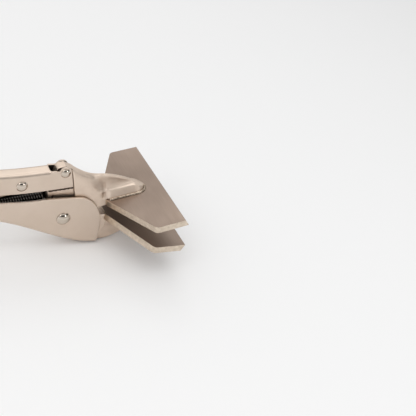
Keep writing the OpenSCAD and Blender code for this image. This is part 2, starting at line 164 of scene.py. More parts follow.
@dataclass(frozen=True)
class NodeBench:
    """Puts nodes into one shader tree and links them.

    Attributes:
        tree: Tree that gets the nodes.
    """

    tree: bpy.types.NodeTree

    def feed(self, node: bpy.types.Node, inputs: dict[str | int, Socket | float | Sequence[float]]) -> None:
        """Fills a node's inputs.

        Args:
            node: Node to fill.
            inputs: What each input takes, another node's output or a plain value.
        """
        for name, value in inputs.items():
            if isinstance(value, Socket):
                self.tree.links.new(value, node.inputs[name])
            else:
                node.inputs[name].default_value = value

    def add(
        self,
        kind: str,
        inputs: dict[str | int, Socket | float | Sequence[float]],
        **settings: object,
    ) -> bpy.types.Node:
        """Adds one node.

        Args:
            kind: Type of the node.
            inputs: What each input takes, another node's output or a plain value.
            settings: The node's own settings.

        Returns:
            The new node.
        """
        node = self.tree.nodes.new(kind)
        for key, setting in settings.items():
            setattr(node, key, setting)
        self.feed(node, inputs)
        return node

    def noise(self, place: Socket, size_mm: float, stretch: Triple, detail: float) -> Socket:
        """Adds a noise of a given size.

        Args:
            place: Object coordinates.
            size_mm: Size of the noise's features.
            stretch: Share of the frequency along each axis.
            detail: Octaves of the noise.

        Returns:
            The noise's value.
        """
        scale = [share / (size_mm * MM) for share in stretch]
        mapped = self.add("ShaderNodeMapping", {"Vector": place, "Scale": scale}).outputs["Vector"]
        inputs = {"Vector": mapped, "Scale": 1.0, "Detail": detail}
        return self.add("ShaderNodeTexNoise", inputs).outputs["Fac"]

    def ramp(
        self,
        value: Socket,
        source: Span,
        target: Span = (0.0, 1.0),
        curve: Ramp = Ramp.STRAIGHT,
    ) -> Socket:
        """Adds a clamped change of range.

        Args:
            value: Value to change.
            source: Values expected at the two ends.
            target: Values wanted there.
            curve: How it goes from one end to the other.

        Returns:
            The changed value.
        """
        ends = zip(("From Min", "From Max", "To Min", "To Max"), source + target)
        inputs = {"Value": value, **dict(ends)}
        return self.add("ShaderNodeMapRange", inputs, interpolation_type=curve.value).outputs["Result"]

    def mix(self, share: Socket, first: Socket | Triple, second: Triple) -> Socket:
        """Adds a mix of two colours.

        Args:
            share: Share of the second colour.
            first: First colour, plain or from a node.
            second: Second colour.

        Returns:
            The mixed colour.
        """
        start = first if isinstance(first, Socket) else (*first, 1.0)
        inputs = {MIX_SHARE: share, MIX_FIRST: start, MIX_SECOND: (*second, 1.0)}
        return self.add("ShaderNodeMix", inputs, data_type="RGBA").outputs[MIX_RESULT]

    def join(self, way: Joined, first: Socket, second: Socket) -> Socket:
        """Adds a sum or a product of two values and returns it."""
        return self.add("ShaderNodeMath", {0: first, 1: second}, operation=way.value).outputs["Value"]

    def bump(self, height: Socket, depth_mm: float, normal: Socket | None = None) -> Socket:
        """Adds a bump.

        Args:
            height: Height of the bump, from 0 to 1.
            depth_mm: Depth of the bump.
            normal: Normal so far, if any.

        Returns:
            The bumped normal.
        """
        inputs = {"Strength": BUMP_STRENGTH, "Distance": depth_mm * MM, "Height": height}
        if normal:
            inputs["Normal"] = normal
        return self.add("ShaderNodeBump", inputs).outputs["Normal"]


@dataclass(frozen=True)
class Finish:
    """One metal finish.

    Attributes:
        name: Name of the material.
        colour: Reflected colour in linear light.
        shade: Second colour that drifts through the first.
        roughness: Middle roughness.
        spread: How far the roughness strays from its middle.
        grain: Direction of the fine grain.
        grain_mm: Size of the fine grain.
        bump_mm: Depth of the fine grain.
        wear: How much the raised edges are brightened, from 0 to 1.
        scratch: How strongly hairline scratches show, from 0 to 1.
        nook_shade: How much painted shade darkens the nooks, from 0 to 1.
        patch_mm: Size of the patches of the second colour.
        wave_mm: Depth of the surface's slow waves, as wide as the patches.
    """

    name: str
    colour: Triple
    shade: Triple
    roughness: float
    spread: float
    grain: Grain
    grain_mm: float
    bump_mm: float
    wear: float = 0.0
    scratch: float = 0.0
    nook_shade: float = 0.0
    patch_mm: float = 14.0
    wave_mm: float = 0.0

    def material(self) -> bpy.types.Material:
        """Returns the material, made once and shared by all pieces of this finish."""
        made = bpy.data.materials.get(self.name)
        return made if made else self._build()

    def _build(self) -> bpy.types.Material:
        """Builds the node tree.

        Returns:
            The new material.
        """
        material = bpy.data.materials.new(self.name)
        material.use_nodes = True
        bench = NodeBench(material.node_tree)
        place = bench.add("ShaderNodeTexCoord", {}).outputs["Object"]
        fine = bench.noise(place, self.grain_mm, self.grain.value, GRAIN_DETAIL)
        broad = bench.noise(place, self.patch_mm, Grain.FORGED.value, PATCH_DETAIL)
        normal = bench.bump(fine, self.bump_mm)
        if self.wave_mm:
            normal = bench.bump(broad, self.wave_mm, normal)
        surface = {
            "Base Color": self._tint(bench, broad),
            "Metallic": 1.0,
            "Roughness": self._roughness(bench, place, fine),
            "Normal": normal,
        }
        bench.feed(material.node_tree.nodes["Principled BSDF"], surface)
        return material

    def _tint(self, bench: NodeBench, broad: Socket) -> Socket:
        """Works out the colour, with bright worn edges and painted shade in the nooks where the finish has
        them.

        Args:
            bench: Bench of the material's tree.
            broad: Noise of the patches.

        Returns:
            The colour.
        """
        tint = bench.mix(bench.ramp(broad, PATCH_RANGE), self.shade, self.colour)
        if self.wear:
            edges = bench.add("ShaderNodeNewGeometry", {}).outputs["Pointiness"]
            bright = tuple(min(1.0, WORN_GAIN * channel) for channel in self.colour)
            tint = bench.mix(bench.ramp(edges, WORN_RANGE, (0.0, self.wear)), tint, bright)
        # Painted shade: nooks that ambient occlusion finds are darkened towards a dark tint
        if self.nook_shade:
            inputs = {"Distance": NOOK_MM * MM}
            nooks = bench.add("ShaderNodeAmbientOcclusion", inputs, samples=NOOK_RAYS).outputs["AO"]
            tint = bench.mix(bench.ramp(nooks, NOOK_RANGE, (self.nook_shade, 0.0)), tint, NOOK_SHADE_TINT)
        return tint

    def _roughness(self, bench: NodeBench, place: Socket, fine: Socket) -> Socket:
        """Works out the roughness, with hairline scratches along the tool where the finish has them.

        Args:
            bench: Bench of the material's tree.
            place: Object coordinates.
            fine: Noise of the fine grain.

        Returns:
            The roughness.
        """
        limits = (self.roughness - self.spread, self.roughness + self.spread)
        rough = bench.ramp(fine, GRAIN_RANGE, limits)
        if self.scratch:
            lines = bench.noise(place, SCRATCH_MM, SCRATCH_STRETCH, SCRATCH_DETAIL)
            depth = bench.ramp(lines, SCRATCH_RANGE, (0.0, SCRATCH_ROUGHNESS * self.scratch))
            rough = bench.join(Joined.SUM, rough, depth)
        return rough


SHEET = Finish(
    name="satin_sheet",
    colour=(0.71, 0.593, 0.496),
    shade=(0.668, 0.552, 0.456),
    roughness=0.32,
    spread=0.05,
    grain=Grain.ROLLED,
    grain_mm=0.5,
    bump_mm=0.004,
    wear=0.4,
    scratch=0.5,
    nook_shade=0.25,
    wave_mm=0.12,
)
FORGING = Finish(
    name="satin_forging",
    colour=(0.81, 0.675, 0.562),
    shade=(0.72, 0.592, 0.488),
    roughness=0.42,
    spread=0.06,
    grain=Grain.FORGED,
    grain_mm=1.6,
    bump_mm=0.012,
    wear=0.5,
    nook_shade=0.2,
    patch_mm=7.0,
    wave_mm=0.35,
)
# Painted shade: the blades' plating gets a darker colour than the sheet's, standing in for the dark
# surroundings that the blades reflect, and its dark second colour in blade-sized patches darkens parts of
# each blade further
BLADE = Finish(
    name="matt_blade_painted_shade",
    colour=(0.385, 0.301, 0.245),
    shade=(0.2, 0.153, 0.123),
    roughness=0.42,
    spread=0.08,
    grain=Grain.GROUND,
    grain_mm=0.7,
    bump_mm=0.012,
    wear=0.2,
    patch_mm=60.0,
)
EDGE = Finish(
    name="ground_edge",
    colour=(0.72, 0.62, 0.51),
    shade=(0.52, 0.425, 0.33),
    roughness=0.36,
    spread=0.06,
    grain=Grain.FORGED,
    grain_mm=1.2,
    bump_mm=0.12,
    wear=0.25,
    patch_mm=2.2,
)
RIVET = Finish(
    name="polished_dome",
    colour=(0.64, 0.56, 0.48),
    shade=(0.57, 0.5, 0.42),
    roughness=0.1,
    spread=0.03,
    grain=Grain.POLISHED,
    grain_mm=0.6,
    bump_mm=0.004,
    wear=0.3,
    nook_shade=0.8,
)
WELD = Finish(
    name="weld_metal",
    colour=(0.74, 0.62, 0.49),
    shade=(0.20, 0.145, 0.10),
    roughness=0.32,
    spread=0.08,
    grain=Grain.FORGED,
    grain_mm=0.6,
    bump_mm=0.03,
    wear=0.5,
    patch_mm=1.9,
)
# Painted shade: a near-black colour for the channels' inner faces, standing in for the shadow inside the
# channels
INSIDE = Finish(
    name="inside_painted_shade",
    colour=(0.12, 0.10, 0.085),
    shade=(0.08, 0.068, 0.058),
    roughness=0.5,
    spread=0.08,
    grain=Grain.ROLLED,
    grain_mm=0.6,
    bump_mm=0.006,
)
# Painted shadow: a dark colour on the jaw's tail just below the lever's lower edge, where the lever's cheek
# shades it
TAIL_SHADOW = Finish(
    name="tail_painted_shadow",
    colour=(0.11, 0.08, 0.064),
    shade=(0.07, 0.05, 0.04),
    roughness=0.5,
    spread=0.06,
    grain=Grain.FORGED,
    grain_mm=0.5,
    bump_mm=0.006,
)
LINK = Finish(
    name="dull_link",
    colour=(0.38, 0.31, 0.245),
    shade=(0.31, 0.25, 0.195),
    roughness=0.38,
    spread=0.06,
    grain=Grain.ROLLED,
    grain_mm=0.5,
    bump_mm=0.008,
    wear=0.3,
)
# Painted shade: the spring wire gets a near-black colour, standing in for the shadow of the channel that
# the coil lies in
WIRE = Finish(
    name="spring_wire",
    colour=(0.17, 0.154, 0.137),
    shade=(0.11, 0.099, 0.088),
    roughness=0.24,
    spread=0.05,
    grain=Grain.POLISHED,
    grain_mm=0.4,
    bump_mm=0.003,
)
SCREW = Finish(
    name="plated_thread",
    colour=(0.51, 0.41, 0.32),
    shade=(0.44, 0.35, 0.265),
    roughness=0.27,
    spread=0.05,
    grain=Grain.POLISHED,
    grain_mm=0.5,
    bump_mm=0.004,
    wear=0.4,
)


def activate(piece: Piece) -> None:
    """Makes a piece the only selected and active object.

    Args:
        piece: Piece to select.
    """
    bpy.ops.object.select_all(action="DESELECT")
    piece.select_set(True)
    bpy.context.view_layer.objects.active = piece


def edit(piece: Piece, work: Callable[[], object]) -> None:
    """Runs some work on the whole of a piece in edit mode.

    Args:
        piece: Piece to work on.
        work: Operators to run while everything is selected.
    """
    activate(piece)
    bpy.ops.object.mode_set(mode="EDIT")
    bpy.ops.mesh.select_all(action="SELECT")
    work()
    bpy.ops.object.mode_set(mode="OBJECT")


def apply_modifier(piece: Piece, kind: str, **settings: object) -> None:
    """Adds a modifier and applies it.

    Args:
        piece: Piece that gets the modifier.
        kind: Type of the modifier.
        settings: Its settings.
    """
    activate(piece)
    modifier = piece.modifiers.new(kind.lower(), kind)
    for key, value in settings.items():
        setattr(modifier, key, value)
    bpy.ops.object.modifier_apply(modifier=modifier.name)


def copy_of(node: str, name: str) -> Piece:
    """Copies a frame node's mesh and merges its loose triangles.

    Args:
        node: Name of the frame's node.
        name: Name of the new piece.

    Returns:
        The merged copy.
    """
    piece = bpy.data.objects.new(name, bpy.data.objects[node].data.copy())
    bpy.context.scene.collection.objects.link(piece)
    piece.data.materials.clear()
    edit(piece, lambda: bpy.ops.mesh.remove_doubles(threshold=COPY_MERGE_MM * MM))
    return piece


def shade_smooth(piece: Piece, crease: float) -> None:
    """Shades a piece smooth, apart from edges that bend by more than an angle in degrees."""
    activate(piece)
    bpy.ops.object.shade_smooth_by_angle(angle=math.radians(crease))


def soften(piece: Piece, voxel_mm: float, rounds: int) -> None:
    """Rounds all edges of a piece by remeshing and smoothing it.

    Args:
        piece: Piece to soften.
        voxel_mm: Size of the remeshing grid.
        rounds: Number of smoothing passes.
    """
    apply_modifier(piece, "REMESH", mode="VOXEL", voxel_size=voxel_mm * MM, use_smooth_shade=True)
    apply_modifier(piece, "SMOOTH", factor=SMOOTHING, iterations=rounds)
    piece.data.polygons.foreach_set("use_smooth", [True] * len(piece.data.polygons))


def round_edges(piece: Piece, width_mm: float) -> None:
    """Rounds the sharp edges of a plain piece with a bevel.

    Args:
        piece: Piece to round.
        width_mm: Width of the rounding.
    """
    edit(piece, lambda: bpy.ops.mesh.dissolve_limited(angle_limit=math.radians(FLAT_ANGLE)))
    apply_modifier(
        piece,
        "BEVEL",
        width=width_mm * MM,
        segments=BEVEL_STEPS,
        limit_method="ANGLE",
        angle_limit=math.radians(BEVEL_ANGLE),
    )
    shade_smooth(piece, BEVEL_CREASE)
    apply_modifier(piece, "WEIGHTED_NORMAL", keep_sharp=True, weight=LARGE_FACE_WEIGHT)


def seat(piece: Piece, body: str, node: str) -> None:
    """Lets a piece stand for a node and ride on its body.

    Args:
        piece: Finished piece.
        body: Body that carries it.
        node: Node that it stands for.
    """
    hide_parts(node)
    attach(piece, body)
    LOG.info("%s: %d faces, rides on %s", piece.name, len(piece.data.polygons), body)


def paint(piece: Piece, finish: Finish) -> None:
    """Gives a piece one finish all over."""
    piece.data.materials.clear()
    piece.data.materials.append(finish.material())


def paint_where(piece: Piece, finish: Finish, chosen: Callable[[Face], bool]) -> None:
    """Gives some faces of a painted piece another finish.

    Args:
        piece: Piece that already has its first finish.
        finish: Finish of the chosen faces.
        chosen: Says whether a face is chosen.
    """
    piece.data.materials.append(finish.material())
    last = len(piece.data.materials) - 1
    for face in piece.data.polygons:
        if chosen(face):
            face.material_index = last


def turned(name: str, profile: Profile, steps: int) -> Piece:
    """Turns an open profile round Z, as on a lathe.

    Args:
        name: Name of the new piece.
        profile: Radius and height of each point, from one end of the axis to the other.
        steps: Number of segments round the axis.

    Returns:
        The closed piece, standing on the origin.
    """
    bpy.ops.object.select_all(action="DESELECT")
    bpy.ops.mesh.primitive_plane_add(size=MM)
    piece = bpy.context.object
    piece.name = name
    edit(piece, lambda: spin_profile(profile, steps))
    return piece


def spin_profile(profile: Profile, steps: int) -> None:
    """Shrinks the edited plane to a point, draws a profile from it and spins that round Z.

    Args:
        profile: Radius and height of each point, from one end of the axis to the other.
        steps: Number of segments round the axis.
    """
    bpy.ops.mesh.merge(type="CENTER")
    bpy.ops.transform.translate(value=(profile[0][0], 0.0, profile[0][1]))
    for (r0, h0), (r1, h1) in zip(profile, profile[1:]):
        bpy.ops.mesh.extrude_region_move(TRANSFORM_OT_translate={"value": (r1 - r0, 0.0, h1 - h0)})
    bpy.ops.mesh.select_all(action="SELECT")
    bpy.ops.mesh.spin(steps=steps, angle=math.tau, center=(0.0, 0.0, 0.0), axis=UP)
    bpy.ops.mesh.select_all(action="SELECT")
    bpy.ops.mesh.remove_doubles(threshold=SPIN_MERGE_MM * MM)
    bpy.ops.mesh.normals_make_consistent(inside=False)


def place_along(piece: Piece, centre: Vector, axis: Vector) -> None:
    """Moves a turned piece's mesh so that its Z axis lies along another axis.

    Args:
        piece: Turned piece at the origin.
        centre: Where its origin goes.
        axis: Direction that its Z axis takes.
    """
    turn = UP.rotation_difference(axis).to_matrix().to_4x4()
    piece.data.transform(Matrix.Translation(centre) @ turn)


def arc(radius: float, start: float, end: float, steps: int) -> Profile:
    """Returns points of an arc round the origin, from one angle to another in degrees."""
    angles = [math.radians(start + (end - start) * i / steps) for i in range(steps + 1)]
    return [(radius * math.cos(a), radius * math.sin(a)) for a in angles]


@dataclass
class PressedSheet:
    """The two pressed channels: fixed handle and toggle lever.

    Attributes:
        handle_voxel_mm: Grid of the handle's remeshing.
        lever_voxel_mm: Grid of the lever's remeshing.
        rounds: Smoothing passes.
        handle_axis: Height of the middle of the handle's channel.
        handle_rise: How far above a face of the handle its channel's middle lies at most.
        handle_half: Half width of the handle's channel, with room to spare.
        lever_drop: How far below a face of the lever its channel's middle is taken to lie.
        lever_half: Half width of the lever's channel, with room to spare.
        inward_share: How far a face looks to the middle at least, from 0 to 1, to be inside.
    """

    handle_voxel_mm: float = 0.42
    lever_voxel_mm: float = 0.29
    rounds: int = 3
    handle_axis: float = 8 * MM
    handle_rise: float = 4 * MM
    handle_half: float = 5.2 * MM
    lever_drop: float = 2 * MM
    lever_half: float = 3.4 * MM
    inward_share: float = 0.5

    def build(self) -> None:
        """Builds and dresses both channels."""
        handle = copy_of("fixed_handle", "handle_channel")
        soften(handle, self.handle_voxel_mm, self.rounds)
        paint(handle, SHEET)
        # The handle's inner faces get painted shade
        paint_where(handle, INSIDE, self._handle_inside)
        seat(handle, "frame", "fixed_handle")
        lever = copy_of("lever", "lever_channel")
        soften(lever, self.lever_voxel_mm, self.rounds)
        paint(lever, SHEET)
        # The lever's inner faces get painted shade
        paint_where(lever, INSIDE, self._lever_inside)
        seat(lever, "lever", "lever")

    def _handle_inside(self, face: Face) -> bool:
        """Says whether a face of the handle looks into its channel."""
        middle = min(self.handle_axis, face.center.z + self.handle_rise)
        return self._looks_in(face, self.handle_half, middle - face.center.z)

    def _lever_inside(self, face: Face) -> bool:
        """Says whether a face of the lever looks into its channel."""
        return self._looks_in(face, self.lever_half, -self.lever_drop)

    def _looks_in(self, face: Face, half: float, rise: float) -> bool:
        """Says whether a face inside a half width looks to a middle that lies higher by a rise."""
        inward = Vector((0.0, -face.center.y, rise))
        return abs(face.center.y) < half and face.normal.dot(inward) > self.inward_share * inward.length


@dataclass
class Jaws:
    """The two forgings, with softened edges, and the weld beads round their feet.

    Attributes:
        voxel_mm: Grid of the forgings' remeshing.
        rounds: Smoothing passes of the forgings.
        bead_voxel_mm: Grid of the beads' remeshing.
        bead_rounds: Smoothing passes of the beads.
        lump_mm: Size of the beads' lumps.
        ripple_mm: Depth of the beads' lumps.
        gap_mm: Width of the painted shadow on the tail along the lever's lower edge.
        tail_half: Half thickness of the tail between the lever's cheeks, with room to spare.
        side_share: How far a face looks sideways at least, from 0 to 1, to be one of the tail's sides.
    """

    voxel_mm: float = 0.32
    rounds: int = 7
    bead_voxel_mm: float = 0.2
    bead_rounds: int = 3
    lump_mm: float = 1.3
    ripple_mm: float = 0.3
    gap_mm: float = 2.2
    tail_half: float = 3.3 * MM
    side_share: float = 0.8

    def build(self) -> None:
        """Builds and dresses the forgings and beads."""
        for node, body in (("fixed_jaw", "frame"), ("movable_jaw", "jaw")):
            forging = copy_of(node, node + "_forging")
            soften(forging, self.voxel_mm, self.rounds)
            paint(forging, FORGING)
            if node == "movable_jaw":
                self._shadow_tail(forging)
            seat(forging, body, node)
        lumps = bpy.data.textures.new("weld_lumps", "CLOUDS")
        lumps.noise_scale = self.lump_mm * MM
        for node, body in (("lower_weld_bead", "frame"), ("upper_weld_bead", "jaw")):
            bead = copy_of(node, node + "_rippled")
            soften(bead, self.bead_voxel_mm, self.bead_rounds)
            apply_modifier(bead, "DISPLACE", texture=lumps, strength=self.ripple_mm * MM)
            paint(bead, WELD)
            seat(bead, body, node)

    def _shadow_tail(self, forging: Piece) -> None:
        """Paints shadow on the movable jaw's tail where it goes in between the lever's cheeks.

        Args:
            forging: Painted forging of the movable jaw.
        """
        mesh = bpy.data.objects["lever"].data
        lever = BVHTree.FromPolygons([v.co for v in mesh.vertices], [f.vertices for f in mesh.polygons])
        # Painted shadow along the lever's lower edge
        paint_where(forging, TAIL_SHADOW, lambda face: self._in_gap(face, lever))

    def _in_gap(self, face: Face, lever: BVHTree) -> bool:
        """Says whether a face is on a side of the tail and close to the lever.

        Args:
            face: Face of the movable jaw's forging.
            lever: Search tree of the lever's faces.

        Returns:
            True where the painted shadow lies.
        """
        if abs(face.normal.y) <= self.side_share or abs(face.center.y) >= self.tail_half:
            return False
        return lever.find_nearest(face.center, self.gap_mm * MM)[0] is not None


@dataclass
class Blades:
    """The two flat blades with pale ground edges.

    Attributes:
        edge_mm: Width of their rounded edges.
        flat_share: How far a face looks the way of the flat sides, from 0 to 1, before it counts as flat.
    """

    edge_mm: float = 0.35
    flat_share: float = 0.75

    def build(self) -> None:
        """Builds and dresses both blades."""
        for node, body in (("lower_blade", "frame"), ("upper_blade", "jaw")):
            blade = copy_of(node, node + "_plate")
            round_edges(blade, self.edge_mm)
            flat = max(blade.data.polygons, key=lambda face: face.area).normal.copy()
            paint(blade, BLADE)
            paint_where(blade, EDGE, lambda face, flat=flat: abs(face.normal.dot(flat)) < self.flat_share)
            seat(blade, body, node)


@dataclass
class Rivets:
    """Domed rivets, turned afresh at the places of the frame's rivets.

    Attributes:
        dome_share: Height of a head as a share of its diameter.
        rim_share: Height of a head's straight rim as a share of its height.
        shank_share: Radius of the shank as a share of the head's diameter.
        dome_steps: Stretches of a dome's profile.
        round_steps: Segments round a rivet's axis.
        crease: Angle in degrees past which an edge stays sharp.
        carriers: Body that carries each rivet.
    """

    dome_share: float = 0.27
    rim_share: float = 0.16
    shank_share: float = 0.33
    dome_steps: int = 10
    round_steps: int = 64
    crease: float = 40.0
    carriers: dict[str, str] = field(
        default_factory=lambda: {
            "jaw_rivet": "frame",
            "lever_rivet": "lever",
            "link_rivet": "lever",
            "release_rivet": "lever",
        }
    )

    def build(self) -> None:
        """Turns and dresses every rivet."""
        for node, body in self.carriers.items():
            low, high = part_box(node)
            profile = self._profile(high.x - low.x, high.y - low.y)
            rivet = turned(node + "_domed", profile, self.round_steps)
            place_along(rivet, (low + high) / 2, ACROSS)
            shade_smooth(rivet, self.crease)
            paint(rivet, RIVET)
            seat(rivet, body, node)

    def _profile(self, head: float, length: float) -> Profile:
        """Works out a rivet's profile.

        Args:
            head: Diameter of its heads.
            length: Length over both heads.

        Returns:
            Radius and height of each point, from one top to the other.
        """
        rise = self.dome_share * head
        rim = self.rim_share * rise
        cap = rise - rim
        ball = (head * head / 4 + cap * cap) / (2 * cap)
        edge = math.degrees(math.asin(1 - cap / ball))
        top = [(r, h - ball + length / 2) for r, h in arc(ball, 90.0, edge, self.dome_steps)]
        half = top + [(head / 2, length / 2 - rise), (self.shank_share * head, length / 2 - rise)]
        # The top lies exactly on the axis
        half[0] = (0.0, length / 2)
        return half + [(r, -h) for r, h in reversed(half)]


@dataclass
class ScrewSet:
    """Adjusting screw with its thread and fluted head, and the bush that it turns in.

    Attributes:
        tip: Radius and height of the tip's points, as shares of the shank's radius.
        tip_length: Length of the tip on which the shank's radius is measured.
        pitch: Pitch of the thread.
        thread_depth: Depth of the thread.
        thread_start: Height at which the thread starts, as a share of the shank's radius.
        thread_stop: How far before the head the thread stops.
        thread_share: Share of the shank's radius past which the thread is cut.
        thread_rows: Rows of points for each turn of the thread.
        head_length: Length of the head.
        skirt: Share of the head's radius, and height above its start, of its lower edge's points.
        crown: Share of the head's radius, and depth below its end, of its upper edge's points.
        crown_height: How far below the head's end its straight part stops.
        flutes: Number of flutes round the head.
        flute_depth: Depth of the flutes.
        flute_share: Share of the head's radius past which the flutes are cut.
        flute_rows: Rows of points along the head's straight part.
        round_steps: Segments round the screw's axis.
        crease: Angle in degrees past which an edge stays sharp.
        bush_edge_mm: Width of the bush's rounded edges.
    """

    tip: tuple[Span, ...] = ((0.0, 0.0), (0.5, 0.0), (0.8, 0.12), (0.97, 0.4))
    tip_length: float = 5 * MM
    pitch: float = 1.1 * MM
    thread_depth: float = 0.55 * MM
    thread_start: float = 0.5
    thread_stop: float = 1 * MM
    thread_share: float = 0.9
    thread_rows: int = 8
    head_length: float = 15 * MM
    skirt: tuple[Span, ...] = ((0.78, 0.0), (0.9, 0.5 * MM), (1.0, 1.5 * MM))
    crown: tuple[Span, ...] = ((0.93, 1 * MM), (0.8, 0.0), (0.3, 0.0), (0.0, 0.0))
    crown_height: float = 2 * MM
    flutes: int = 30
    flute_depth: float = 0.35 * MM
    flute_share: float = 0.97
    flute_rows: int = 8
    round_steps: int = 120
    crease: float = 45.0
    bush_edge_mm: float = 0.25

    def build(self) -> None:
        """Builds and dresses the screw and its bush."""
        low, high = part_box("adjusting_screw")
        length = high.x - low.x
        head = (high.z - low.z) / 2
        tip = Vector((high.x, 0.0, (low.z + high.z) / 2))
        shank = self._shank_radius(tip)
        screw = turned("threaded_screw", self._profile(length, shank, head), self.round_steps)
        self._cut(screw, length - self.head_length, shank, head)
        place_along(screw, tip, REARWARDS)
        shade_smooth(screw, self.crease)
        paint(screw, SCREW)
        seat(screw, "screw", "adjusting_screw")
        bush = copy_of("screw_bush", "sleeve_bush")
        round_edges(bush, self.bush_edge_mm)
        paint(bush, LINK)
        seat(bush, "frame", "screw_bush")

    def _shank_radius(self, tip: Vector) -> float:
        """Measures the frame's screw near its tip.

        Args:
            tip: Middle of the tip.

        Returns:
            Radius of the shank.
        """
        points = [vertex.co - tip for vertex in bpy.data.objects["adjusting_screw"].data.vertices]
        return max(math.hypot(point.y, point.z) for point in points if point.x > -self.tip_length)

    def _profile(self, length: float, shank: float, head: float) -> Profile:
        """Works out the screw's profile.

        Args:
            length: Length over all.
            shank: Radius of the threaded shank.
            head: Radius of the head.

        Returns:
            Radius and height of each point, from the tip to the head's end.
        """
        foot = self.thread_start * shank
        start = length - self.head_length
        low = start + self.skirt[-1][1]
        high = length - self.crown_height
        rows = int((start - shank) / (self.pitch / self.thread_rows))
        tip = [(share * shank, height * shank) for share, height in self.tip]
        shaft = [(shank, foot + (start - foot) * i / rows) for i in range(rows + 1)]
        skirt = [(share * head, start + height) for share, height in self.skirt]
        barrel = [(head, low + (high - low) * i / self.flute_rows) for i in range(1, self.flute_rows + 1)]
        crown = [(share * head, length - depth) for share, depth in self.crown]
        return tip + shaft + skirt + barrel + crown

    def _cut(self, screw: Piece, start: float, shank: float, head: float) -> None:
        """Cuts the thread into the shank and the flutes into the head.

        Args:
            screw: Turned screw, standing on its tip.
            start: Height at which the head starts.
            shank: Radius of the shank.
            head: Radius of the head.
        """
        for vertex in screw.data.vertices:
            radius = math.hypot(vertex.co.x, vertex.co.y)
            angle = math.atan2(vertex.co.y, vertex.co.x)
            depth = 0.0
            if radius > self.thread_share * shank and vertex.co.z < start - self.thread_stop:
                turn = (vertex.co.z / self.pitch - angle / math.tau) % 1.0
                fade = min(1.0, max(0.0, (vertex.co.z - self.thread_start * shank) / self.pitch))
                depth = self.thread_depth * abs(2 * turn - 1) * fade
            elif radius > self.flute_share * head:
                depth = self.flute_depth * (1 - math.cos(self.flutes * angle)) / 2
            if depth:
                vertex.co.xy *= (radius - depth) / radius


@dataclass
class ToggleSet:
    """Toggle link and release lever, with rounded edges.

    Attributes:
        edge_mm: Width of the link's rounded edges.
        voxel_mm: Grid of the release lever's remeshing.
        rounds: Smoothing passes of the release lever.
    """

    edge_mm: float = 0.3
    voxel_mm: float = 0.26
    rounds: int = 5

    def build(self) -> None:
        """Builds and dresses the link and the release lever."""
        link = copy_of("toggle_link", "link_bar")
        round_edges(link, self.edge_mm)
        paint(link, LINK)
        seat(link, "link", "toggle_link")
        release = copy_of("release_lever", "release_plate")
        soften(release, self.voxel_mm, self.rounds)
        paint(release, SHEET)
        seat(release, "release", "release_lever")


